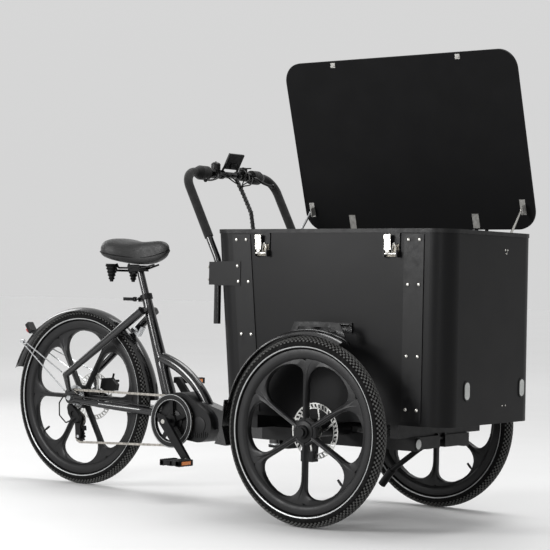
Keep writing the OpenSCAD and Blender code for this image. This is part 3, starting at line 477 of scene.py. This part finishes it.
def wheel(cad, tyre, body, centre, r, rotor_y, hub_r, hub0, hub1):
    """One cast wheel with its rotor, valve and tyre; stands for the CAD wheel and tyre."""
    rear = cad == "rear_wheel"
    rim = Shape().turned([(r - 73, -8), (r - 69, -14), (r - 63, -17.5), (r - 56, -18.2),
                          (r - 44, -18.4), (r - 41.5, -17.5), (r - 43, -14.5), (r - 50, -12),
                          (r - 54, 0), (r - 50, 12), (r - 43, 14.5), (r - 41.5, 17.5),
                          (r - 44, 18.4), (r - 56, 18.2), (r - 63, 17.5), (r - 69, 14),
                          (r - 73, 8), (r - 75, 0), (r - 73, -8)], centre, sides=120)
    rim.make(f"{body}_rim", CAST, body, slot="wheel_cast")
    first_window = HALF_SECTOR if rear else 0.0
    disc = spoke_disc(centre, r, first_window)
    disc.make(f"{body}_spokes", CAST, body, slot="wheel_cast")

    ribs = Shape()
    for s in range(SPOKES):
        base = FULL_TURN * s / SPOKES + first_window + HALF_SECTOR
        for y in (-1, 1):
            pts, rad = [], []
            for k in range(15):
                t = k / 14
                pts.append(polar(centre, 26 + (r - 82 - 26) * t, base - 0.09 * t ** 4,
                                 y * (9.0 - 1.6 * t)))
                rad.append(3.6 + 1.6 * t - 3.4 * max(0, t - 0.8) / 0.2)
            ribs.tube(pts, rad, sides=8)
    ribs.make(f"{body}_spoke_ribs", CAST, body, slot="wheel_cast")

    lo, hi = min(hub0, hub1), max(hub0, hub1)
    bore = 10.3 if hub_r < 24 else 6.3
    hub = Shape().turned([(bore, lo), (hub_r - 3, lo), (hub_r, lo + 3), (hub_r, -15), (34, -13),
                          (37, -9), (37, 9), (34, 13), (hub_r, 15), (hub_r, hi - 3),
                          (hub_r - 3, hi), (bore, hi), (bore, lo)], centre, sides=40)
    hub.make(f"{body}_hub", SATIN, body, slot="wheel_cast")

    disc_rotor(body, centre, rotor_y)

    valve = Shape()
    valve_angle = math.radians(215 if rear else -48)
    d = Vector((math.cos(valve_angle), 0, math.sin(valve_angle)))
    c = Vector(centre)
    valve.tube([c + d * (r - 52), c + d * (r - 92), c + d * (r - 93), c + d * (r - 112)],
               [3.4, 3.2, 4.4, 4.0], sides=12)
    valve.make(f"{body}_valve", PLASTIC, body, slot="wheel_cast")
    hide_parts(cad)

    skin = Shape()
    prof = []
    for k in range(33):
        a = math.radians(-118 + 236 * k / 32)
        deep = 21.6 if abs(a) < 1.2 else 24.2
        prof.append((r - TYRE_R + deep * math.cos(a), deep * math.sin(a)))
    prof += [(p[0], p[1] * 0.86) for p in ((r - 41.5, 17.0), (r - 41.5, -17.0))]
    prof.append(prof[0])
    skin.turned(prof, centre, sides=144)
    knobs = Shape()
    tyre_tread(knobs, centre, r, 130 if rear else 120)
    # the knobs carry the lighter rubber as a painted highlight on their tops
    knobs.make(f"{body}_tyre_knobs", KNOB_HIGHLIGHT, body, slot="tyre_rubber", smooth=False)
    skin.make(f"{body}_tyre_skin", RUBBER, body, slot="tyre_rubber")
    line = Shape()
    for side in (-1, 1):
        band = []
        for rr in (r - 35.2, r - 34.0, r - 32.6, r - 31.6):
            a = math.acos(max(-1, min(1, (rr - (r - TYRE_R)) / 24.7)))
            band.append((rr, side * 24.75 * math.sin(a)))
        line.turned(band, centre, sides=144)
    line.make(f"{body}_reflective_line", LINE, body, slot="tyre_rubber")
    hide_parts(tyre)


def disc_rotor(body, centre, rotor_y):
    """Brake disc: a lattice band of two solid edges and slanted bars, on six swept arms."""
    rot = Shape()
    y0, y1 = rotor_y - 0.9, rotor_y + 0.9
    for r0, r1 in ((86.5, 90.0), (72.0, 75.0)):
        rot.turned([(r0, y0), (r1, y0), (r1, y1), (r0, y1), (r0, y0)], centre, sides=72)
    for k in range(36):
        a = FULL_TURN * k / 36
        for b in (a, a + 0.035):
            bar = ((74.5, b), (87, b + 0.07), (87, b + 0.115), (74.5, b + 0.05))
            quad = [polar(centre, rr, ang, y) for y in (y0, y1) for rr, ang in bar]
            rot.add(quad, [(0, 1, 2, 3), (7, 6, 5, 4), (0, 4, 5, 1), (1, 5, 6, 2), (2, 6, 7, 3),
                           (3, 7, 4, 0)])
    for k in range(6):
        a = FULL_TURN * k / 6
        arm = ((22, a - 0.2), (48, a + 0.12), (73.5, a + 0.34), (73.5, a + 0.42), (48, a + 0.26),
               (22, a + 0.15))
        hexagon = [polar(centre, rr, ang, y) for y in (y0, y1) for rr, ang in arm]
        rot.add(hexagon, [(0, 1, 2, 3, 4, 5), (11, 10, 9, 8, 7, 6)]
                + [(i, i + 6, (i + 1) % 6 + 6, (i + 1) % 6) for i in range(6)])
    rot.turned([(12, y0), (27, y0), (27, y1), (12, y1), (12, y0)], centre, sides=40)
    rot.make(f"{body}_rotor", ROTOR, body, slot="steel_part", smooth=False)


for spec in WHEELS:
    wheel(*spec)

# ---------------------------------------------------------------- saddle
# x, half width, top and underside of the cover
SADDLE_CUTS = ((124, 22, 905, 886), (130, 56, 916, 870), (144, 82, 926, 858), (168, 97, 930.5, 850),
               (198, 98, 930.5, 843), (228, 85, 926, 838), (258, 62, 920, 834), (290, 42, 917, 833),
               (325, 31, 919, 835), (358, 25, 922, 842), (385, 21, 920, 854), (402, 14, 911, 868),
               (411, 4, 899, 884))


def saddle_section(x, w, top, low, count=28):
    """One closed ring across the saddle, crowned above and tucked in below."""
    mid = low + 0.42 * (top - low)
    ring = []
    for k in range(count):
        c, s = math.cos(FULL_TURN * k / count), math.sin(FULL_TURN * k / count)
        y = w * math.copysign(abs(c) ** 0.75, c)
        z = mid + (top - mid) * s ** 0.8 if s > 0 else mid - (mid - low) * (-s) ** 0.55
        ring.append((x, y, z))
    return ring


saddle = Shape().grid([saddle_section(*cut) for cut in SADDLE_CUTS], closed_u=True, caps=True)
saddle = saddle.make("saddle_cover_pad", COVER, "seat", slot="saddle_cover", subdiv=2)
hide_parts("saddle")
seam = [(x, w * 0.985, low + 0.3 * (top - low)) for x, w, top, low in SADDLE_CUTS]
seam += [(x, -y, z) for x, y, z in seam[::-1]]
Shape().tube(smooth_path(seam, 4), 1.3, sides=8).make(
    "saddle_seam", RUBBER, "seat", slot="saddle_cover")
DAMPER_X, DAMPER_Y, DAMPER_LOW, DAMPER_TALL = 186, 60, 768, 66
dampers = Shape()
for side in (-1, 1):
    for z in (780, 792, 804, 816, 827):
        r = 6 + 17 * (z - DAMPER_LOW) / DAMPER_TALL
        dampers.turned([(r - 1, -4), (r + 2.4, -2), (r + 2.4, 2), (r - 1, 4)],
                       (DAMPER_X, side * DAMPER_Y, z), axis="Z", sides=32)
dampers.make("saddle_damper_rings", RUBBER, "seat", slot="soft_rubber")

# ---------------------------------------------------------------- drive
# centres in the plane of the chain, as (x, z)
AXLE, CRANK, GUIDE, TENSION = (Vector(p) for p in ((0, 329.5), (495, 271), (40, 247), (44, 186)))
CHAIN_PITCH = 12.7
RING_R, COG_R, PULLEY_R = (CHAIN_PITCH / 2 / math.sin(math.pi / teeth) for teeth in (44, 14, 11))
CHAIN_Y = -58.0
CRANK_CENTRE = (CRANK.x, 0, CRANK.y)
CRANK_LENGTH, CRANK_ANGLE = 175, math.radians(50)


def tangent(a, ra, b, rb):
    """Ends of the line that touches two circles; a negative radius is wrapped the other way."""
    d = (b - a).normalized()
    c = (ra - rb) / (b - a).length
    n = d * c + Vector((-d.y, d.x)) * math.sqrt(1 - c * c)
    return a + n * ra, b + n * rb


def chain_line():
    """Closed path of the chain's pins round the cog, chainring and both pulleys."""
    stops = ((AXLE, COG_R), (CRANK, RING_R), (TENSION, PULLEY_R), (GUIDE, -PULLEY_R))
    legs = [tangent(*stops[i], *stops[(i + 1) % 4]) for i in range(4)]
    line = []
    for i in range(4):
        (p, q), (c, rad) = legs[i], stops[(i + 1) % 4]
        out = legs[(i + 1) % 4][0]
        line += [p.lerp(q, k / 20) for k in range(20)]
        a0, a1 = (math.atan2(*(v - c).yx) for v in (q, out))
        sweep = (a1 - a0) % FULL_TURN
        if rad > 0:
            sweep -= FULL_TURN
        line += [c + abs(rad) * Vector((math.cos(t), math.sin(t)))
                 for t in (a0 + sweep * k / 24 for k in range(24))]
    return line


def even_steps(line, step):
    """Points at even steps round a closed line; the step is stretched to fit a whole number."""
    loop = line + [line[0]]
    lengths = [(b - a).length for a, b in zip(loop, loop[1:])]
    total = sum(lengths)
    count = 2 * round(total / step / 2)
    out, k, run = [], 0, 0.0
    for i in range(count):
        want = total * i / count
        while run + lengths[k] < want:
            run += lengths[k]
            k += 1
        out.append(loop[k].lerp(loop[k + 1], (want - run) / max(lengths[k], 1e-9)))
    return out


def stadium(a, b, r, steps=5):
    """Outline with round ends about two points."""
    d = (b - a).normalized()
    base = math.atan2(d.y, d.x)
    return [c + r * Vector((math.cos(base + t), math.sin(base + t)))
            for c, first in ((b, -90), (a, 90))
            for t in (math.radians(first + 180 * k / steps) for k in range(steps + 1))]


pins = even_steps(chain_line(), CHAIN_PITCH)
links, rollers = Shape(), Shape()
for i, (a, b) in enumerate(zip(pins, pins[1:] + pins[:1])):
    spread = 3.1 if i % 2 else 1.9
    for side in (-1, 1):
        y = CHAIN_Y + side * spread
        links.plate([tuple(p) for p in stadium(a, b, 4.1)], y - 0.45, y + 0.45)
    rollers.turned([(2.2, -3.6), (2.2, 3.6)], (a.x, CHAIN_Y, a.y), sides=8)
links.make("chain_links", CHAIN, "rear_frame", slot="chain_steel", smooth=False)
rollers.make("chain_rollers", STEEL, "rear_frame", slot="chain_steel")
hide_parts("chain")

rings = Shape()
for r0, r1 in ((93.5, 95.8), (76.2, 77.8)):
    rings.turned([(r0, -67.1), (r0, -67.9), (r1, -67.9), (r1, -67.1)], CRANK_CENTRE, sides=96)
rings.make("chain_guard_lines", LINE, "crank", slot="silver_metal", smooth=False)


def crank_tip(side):
    """Centre of a pedal's spindle, as (x, z)."""
    return (CRANK.x - side * CRANK_LENGTH * math.cos(CRANK_ANGLE),
            CRANK.y + side * CRANK_LENGTH * math.sin(CRANK_ANGLE))


caps = Shape()
for side in (-1, 1):
    caps.turned([(0.1, side * 114.5), (7, side * 114.5), (8.5, side * 113), (8.5, side * 111)],
                CRANK_CENTRE, sides=28)
    x, z = crank_tip(side)
    caps.turned([(11.5, side * 111), (11.5, side * 113), (5, side * 113)], (x, 0, z), sides=28)
caps.make("crank_caps", SILVER, "crank", slot="silver_metal")
PEDAL_INNER, PEDAL_OUTER, BAR_OFF = 127, 203, 36
for side, name in ((-1, "pedal_right"), (1, "pedal_left")):
    x, z = crank_tip(side)
    y0, y1 = sorted((side * PEDAL_INNER, side * PEDAL_OUTER))
    cage = Shape()
    for k, end in ((-1, y0), (1, y1 - 9)):
        bar_x = x + k * BAR_OFF
        cage.block(bar_x - 9, bar_x + 9, y0, y1, z - 11, z + 11)
        cage.block(x - 45, x + 45, end, end + 9, z - 9, z + 9)
        for j in range(6):
            y = y0 + 8 + j * 12
            cage.block(bar_x - 6, bar_x + 6, y - 2.5, y + 2.5, z - 12, z + 12)
    cage.block(x - 12, x + 12, y0, y1, z - 10, z + 10)
    cage.make(f"{name}_cage", PLASTIC, name, slot="black_plastic", bevel=1.5)
    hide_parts(name)
    amber = Shape()
    for k in (-1, 1):
        amber.block(x + k * 45 - 0.9, x + k * 45 + 0.9, y0 + 14, y1 - 14, z - 6, z + 6)
    amber.make(f"{name}_reflectors", AMBER, name, slot="reflector_clear", bevel=0.5)
fins = Shape()
for k in range(11):
    x = 560 + k * 9
    fins.block(x - 2, x + 2, -52.5, -49, 222 - 6 * math.sin(k / 10 * math.pi), 268 - 3 * k)
fins.turned([(40, -50), (40, -53), (36, -55), (10, -55.5)], CRANK_CENTRE, sides=48)
fins.turned([(30, -50), (30, -52), (26, -53), (0.1, -53)], (612, 0, 262), sides=40)
fins.make("motor_right_cover", PLASTIC, "rear_frame", slot="motor_case", bevel=0.8)
jockey = Shape()
for c in (GUIDE, TENSION):
    jockey.turned([(0.1, -75.6), (5, -75.6), (6, -74.5), (6, -73.8)], (c.x, 0, c.y), sides=20)
jockey.make("derailleur_bolts", STEEL, "rear_frame", slot="steel_part")

# ---------------------------------------------------------------- box
STRIP_FACE, PLATE_FACE, HEAD_R, HEAD_TALL = 280.2, 282.2, 5.6, 2.2
STRIP_LEAN, STRIP_TOP = math.tan(math.radians(5.31)), 917
domes = Shape()


def side_screw(x, face_y, z, side):
    """Low round screw head standing on a side face."""
    domes.turned([(0.1, side * HEAD_TALL), (HEAD_R * 0.5, side * HEAD_TALL * 0.9),
                  (HEAD_R * 0.85, side * HEAD_TALL * 0.5), (HEAD_R, 0)],
                 (x, side * face_y, z), sides=20)


for side in (-1, 1):
    for z in (STRIP_TOP, 777, 553, 386):
        for x in (1634, 1675):
            side_screw(x, STRIP_FACE, z, side)
    for x, z in ((948, STRIP_TOP), (989, STRIP_TOP), (989, 777), (948, 602), (989, 602),
                 (948, 386), (989, 386)):
        side_screw(x + STRIP_LEAN * (STRIP_TOP - z), STRIP_FACE, z, side)
    for x, z in ((961, 777), (956, 829)):
        side_screw(x, PLATE_FACE, z, side)
BOX_FRONT = 1777
for y, z in ((76, 894), (90, 894), (83, 883)):
    domes.turned([(0.1, 1.6), (2, 1.4), (3.2, 0)], (BOX_FRONT, y, z), axis="X", sides=14)
for y in (73, 93):
    domes.turned([(0.1, 1.4), (1.6, 1.2), (2.4, 0)], (BOX_FRONT, y, 392), axis="X", sides=14)
for side in (-1, 1):
    for z in (782, 824):
        domes.turned([(0.1, -6), (4.5, -6), (5.5, -4), (5.5, 0)], (812.5, side * 250, z), axis="X",
                     sides=20)
domes.make("screw_heads", SILVER, "front_carriage", slot="silver_metal")

for x, name in ((1060, "rear_latch"), (1573, "front_latch")):
    toggle = Shape()
    toggle.block(x - 22, x + 2, -291.6, -288.2, 884, 933)
    toggle.block(x - 22, x + 2, -294.4, -291.4, 918, 932)
    toggle.tube([(x - 21, -286, 872), (x + 21, -286, 872)], 4.4, sides=16)
    toggle.turned([(0.1, -7), (6.5, -6), (8, -3), (8, 0)], (x - 10, -286.5, 878), sides=24)
    toggle.tube(smooth_path([(x + 4, -286.5, 874), (x + 8, -289, 892), (x + 14, -289.5, 906),
                             (x + 19.5, -289, 890), (x + 19, -286.5, 874)], 5), 1.7, sides=8)
    toggle.make(f"{name}_toggle", SILVER, name, slot="silver_metal", bevel=0.8)
    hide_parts(name)
    base = Shape()
    for px, pz in ((-20, 868), (20, 868)):
        base.turned([(0.1, -2), (3, -1.6), (4, 0)], (x + px, -279.2, pz), sides=14)
    base.block(x - 25, x + 27, -281.5, -279, 864, 902)
    base.block(x + 4, x + 24, -285, -281, 880, 900)
    base.make(f"{name}_base_plate", DARK_STEEL, "front_carriage", slot="steel_part")

reflectors, lenses = Shape(), Shape()


def rounded_bar(shape, y, z0, z1, w, x1):
    """Upright bar with round ends, standing on the box's front face."""
    loop = [(y + p.x, p.y) for p in stadium(Vector((0, z0 + w)), Vector((0, z1 - w)), w, 8)]
    n = len(loop)
    shape.add([(x, a, b) for x in (BOX_FRONT, x1) for a, b in loop],
              [tuple(range(n)), tuple(range(2 * n - 1, n - 1, -1))]
              + [(i, i + n, (i + 1) % n + n, (i + 1) % n) for i in range(n)])


for y in (-150, 194):
    rounded_bar(reflectors, y, 414, 479, 19, 1779.4)
    rounded_bar(lenses, y, 419, 474, 14, 1780.4)
    for k in range(-2, 3):
        lenses.block(1779, 1781, y + k * 5 - 1.2, y + k * 5 + 1.2, 430, 463)
ROUND_REFLECTOR = (1600, -150, 268)
reflectors.turned([(20, 0.3), (20, 4), (16.5, 5)], ROUND_REFLECTOR, axis="X", sides=32)
reflectors.make("front_reflector_frames", PLASTIC, "front_carriage", slot="black_plastic",
                bevel=0.6)
lenses.turned([(16.8, 3), (15, 4.8), (8, 5.7), (0.1, 5.9)], ROUND_REFLECTOR, axis="X", sides=32)
lenses.make("front_reflector_lenses", PALE, "front_carriage", slot="reflector_clear", bevel=0.4)
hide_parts("front_reflectors")

tilt = Matrix.Rotation(math.radians(-36), 3, "Y")
foot = Vector((-276, 0, 552))
lamp, red_lens = Shape(), Shape()
lamp.block(foot.x - 2, foot.x + 20, -15.5, 15.5, foot.z + 9, foot.z + 53, turn=tilt, about=foot)
LENS_SIDES = 28
red_lens.grid([[foot + tilt @ Vector((depth, r * math.cos(t), 31 + r * math.sin(t)))
                for t in (FULL_TURN * k / LENS_SIDES for k in range(LENS_SIDES))]
               for depth, r in ((-1, 12.6), (-9, 12.4), (-11.4, 9), (-12, 0.2))], closed_u=True)
lamp.make("tail_light_body", PLASTIC, "rear_frame", slot="black_plastic", bevel=4, segments=3)
red_lens.make("tail_light_lens", RED, "rear_frame", slot="lamp_red")
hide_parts("tail_light")

# ---------------------------------------------------------------- handlebar
BAR_X, BAR_TOP = 848 - 0.52 * 310, 1155.0  # the bar leans back 0.52 per unit of its height
for side, name in ((-1, "right_brake_lever"), (1, "left_brake_lever")):
    blade = Shape()
    path = smooth_path([(BAR_X + 24, side * 100, 1153), (BAR_X + 38, side * 111, 1148),
                        (BAR_X + 48, side * 128, 1136), (BAR_X + 51, side * 158, 1128),
                        (BAR_X + 50, side * 188, 1126)], 6)
    blade.tube(path, [6.4 - 1.8 * k / len(path) for k in range(len(path))], sides=10, flat=0.62)
    blade.turned([(0.1, -7.4), (4.4, -6), (7.4, -1.8), (7.4, 1.8), (4.4, 6), (0.1, 7.4)],
                 (BAR_X + 50, side * 192, 1126), sides=20)
    blade.turned([(3.2, -4.6), (7.6, -4.6), (7.6, 2.6), (3.2, 2.6), (3.2, -4.6)],
                 (BAR_X + 26, side * 102, 1153), axis="Z", sides=24)
    blade.make(f"{name}_blade", SATIN, name, slot="black_metal")
    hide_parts(name)

bell = Shape().turned([(17.4, 0), (17, 3), (14.5, 7), (9, 10), (3, 11), (3, 13), (0.1, 13.4)],
                      (BAR_X - 2, -74, 1186.5), axis="Z", sides=36)
bell.turned([(16.3, -2), (16.8, -1), (16.8, 1), (16.3, 2)], (BAR_X, 74, BAR_TOP), sides=32)
bell.make("bell_dome", PLASTIC, "front_carriage", slot="black_plastic")
face = Matrix.Rotation(math.radians(-62), 3, "Y")
centre = Vector((BAR_X + 20, 0, BAR_TOP + 48))


def on_display(shape, x0, x1, y0, y1, z0, z1):
    """Block placed in the tilted display's own axes; z points at the rider."""
    shape.block(centre.x + x0, centre.x + x1, y0, y1, centre.z + z0, centre.z + z1, turn=face,
                about=centre)


housing, screen = Shape(), Shape()
on_display(housing, -30, 30, -41.5, 41.5, -4.5, 4.5)
on_display(housing, -24, -6, -14, 14, -9, -4)
on_display(screen, -25, 25, -35, 35, 4.3, 5)
mount = Shape()
for side in (-1, 1):
    mount.turned([(12.1, -6), (16, -6), (16, 6), (12.1, 6), (12.1, -6)],
                 (BAR_X, side * 44, BAR_TOP), sides=32)
    mount.tube(smooth_path([(BAR_X + 2, side * 42, BAR_TOP + 13),
                            (BAR_X + 6, side * 38, BAR_TOP + 24),
                            (BAR_X + 12, side * 30, BAR_TOP + 36)], 4), 4.2, sides=10)
housing.make("display_housing", PLASTIC, "front_carriage", slot="black_plastic", bevel=2.5,
             segments=3)
screen.make("display_screen", SCREEN, "front_carriage", slot="screen", bevel=0.3)
mount.make("display_mount", SATIN, "front_carriage", slot="black_metal")
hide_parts("display")

core = bent_path([(705, 20, 1140), (740, 15, 1090), (790, 0, 1020), (818, -20, 950),
                  (834, -20, 800), (858, -20, 400), (872, -20, 321), (999, -20, 321)], 40)
core = [a.lerp(b, k / 6) for a, b in zip(core, core[1:]) for k in range(6)] + [core[-1]]
bundle = Shape().tube(core, 6.9, sides=14)
# spiral wrap, left out where the bundle passes the box's top edge
WRAP_STEP, WRAP_PITCH, WRAP_OFF, WRAP_R, EDGE_LOW, EDGE_HIGH = 2.2, 16, 7.4, 1.6, 940, 952
wrap, turn = [], 0.0
side_way = Vector((0, 1, 0))
for a, b in zip(core, core[1:]):
    d = b - a
    steps = max(1, round(d.length / WRAP_STEP))
    other = d.normalized().cross(side_way).normalized()
    for k in range(steps):
        if a.z < EDGE_LOW or EDGE_HIGH < a.z:
            out = side_way * math.cos(turn) + other * math.sin(turn)
            wrap.append(a + d * k / steps + out * WRAP_OFF)
        turn += d.length / steps / WRAP_PITCH * FULL_TURN
bundle.tube(wrap, WRAP_R, sides=6)
bundle.make("cable_bundle_wrap", SLEEVE, "front_carriage", slot="cable_skin")
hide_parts("cable_bundle")
cables = Shape()
for y, high, drop in ((-100, 1152, 20), (100, 1152, 26), (74, 1158, 14), (-74, 1158, 30),
                      (40, 1176, 8)):
    cables.tube(smooth_path([(BAR_X + 20, y, high), (BAR_X + 44, y * 0.8, high - 4),
                             (BAR_X + 58, y * 0.45 + 6, high - 18 - drop * 0.4),
                             (BAR_X + 44, 18 + y * 0.06, 1122 - drop * 0.3),
                             (BAR_X + 53, 16 + y * 0.03, 1090)], 7), 2.3, sides=8)
cables.make("handlebar_cables", SLEEVE, "front_carriage", slot="cable_skin")


# ---------------------------------------------------------------- stage
# The open floor is painted darker near the object, as painted shade that holds down the pool of
# light the lamps throw there, and grows paler outwards until it is as bright as the sky at the
# horizon, so that no line shows between them from any side.
FLOOR_HALF, NEAR_R, FAR_R = 60.0, 2.5, 9.0
NEAR_SHADE, FAR_SHADE = 0.56, 0.9
HORIZON, ZENITH_GAIN = 0.66, 1.167

studio = material("studio_floor", (FAR_SHADE, FAR_SHADE, FAR_SHADE), 0.6, mottle=0.01,
                  mottle_size=1.5, grain=0.02, grain_size=0.01)
tree = studio.node_tree
tint = tree.nodes["Principled BSDF"].inputs["Base Color"].links[0].from_socket
coords = tree.nodes.new("ShaderNodeTexCoord")
reach = tree.nodes.new("ShaderNodeVectorMath")
reach.operation = "LENGTH"
tree.links.new(coords.outputs["Object"], reach.inputs[0])
# painted shade: towards the object the floor's colour is scaled down from FAR_SHADE to NEAR_SHADE,
# holding down the lamps' pool of light
fade = tree.nodes.new("ShaderNodeMapRange")
fade.interpolation_type = "SMOOTHSTEP"
fade.inputs["From Min"].default_value = NEAR_R
fade.inputs["From Max"].default_value = FAR_R
fade.inputs["To Min"].default_value = NEAR_SHADE / FAR_SHADE
tree.links.new(reach.outputs["Value"], fade.inputs["Value"])
shade = tree.nodes.new("ShaderNodeVectorMath")
shade.operation = "SCALE"
tree.links.new(tint, shade.inputs[0])
tree.links.new(fade.outputs["Result"], shade.inputs["Scale"])
tree.links.new(shade.outputs["Vector"], tree.nodes["Principled BSDF"].inputs["Base Color"])
floor_mesh = bpy.data.meshes.new("floor")
floor_mesh.from_pydata([(x * FLOOR_HALF, y * FLOOR_HALF, 0) for x, y in
                        ((-1, -1), (1, -1), (1, 1), (-1, 1))], [], [(0, 1, 2, 3)])
floor_mesh.materials.append(studio)
floor = bpy.data.objects.new("floor", floor_mesh)
bpy.context.collection.objects.link(floor)

world = bpy.data.worlds.new("studio")
bpy.context.scene.world = world
world.use_nodes = True
sky = world.node_tree
coords = sky.nodes.new("ShaderNodeTexCoord")
split = sky.nodes.new("ShaderNodeSeparateXYZ")
sky.links.new(coords.outputs["Generated"], split.inputs["Vector"])
rise = sky.nodes.new("ShaderNodeMapRange")
rise.inputs["To Min"].default_value = HORIZON
rise.inputs["To Max"].default_value = HORIZON * ZENITH_GAIN
sky.links.new(split.outputs["Z"], rise.inputs["Value"])
sky.nodes["Background"].inputs["Color"].default_value = (1, 1, 1, 1)
sky.links.new(rise.outputs["Result"], sky.nodes["Background"].inputs["Strength"])


def area_light(name, x, y, z, target, width, height, power):
    """Soft rectangular light, in metres and watts, turned to face a target."""
    data = bpy.data.lights.new(name, "AREA")
    data.shape = "RECTANGLE"
    data.size, data.size_y, data.energy = width, height, power
    o = bpy.data.objects.new(name, data)
    bpy.context.collection.objects.link(o)
    o.location = (x, y, z)
    o.rotation_euler = (Vector(target) - Vector((x, y, z))).to_track_quat("-Z", "Y").to_euler()


area_light("key_light", -1.6, -4.0, 2.0, (0.3, -0.3, 0.7), 1.6, 1.6, 170)
area_light("corner_light", 3.2, -4.4, 2.0, (0.9, -0.3, 0.6), 0.35, 2.6, 34)
area_light("top_light", 0.5, 1.5, 5.2, (0, 0, 0.3), 4.0, 3.0, 230)
area_light("left_light", -4.5, 1.0, 2.5, (0, 0, 0.6), 2.0, 2.5, 60)
bpy.context.scene.view_settings.view_transform = "Standard"
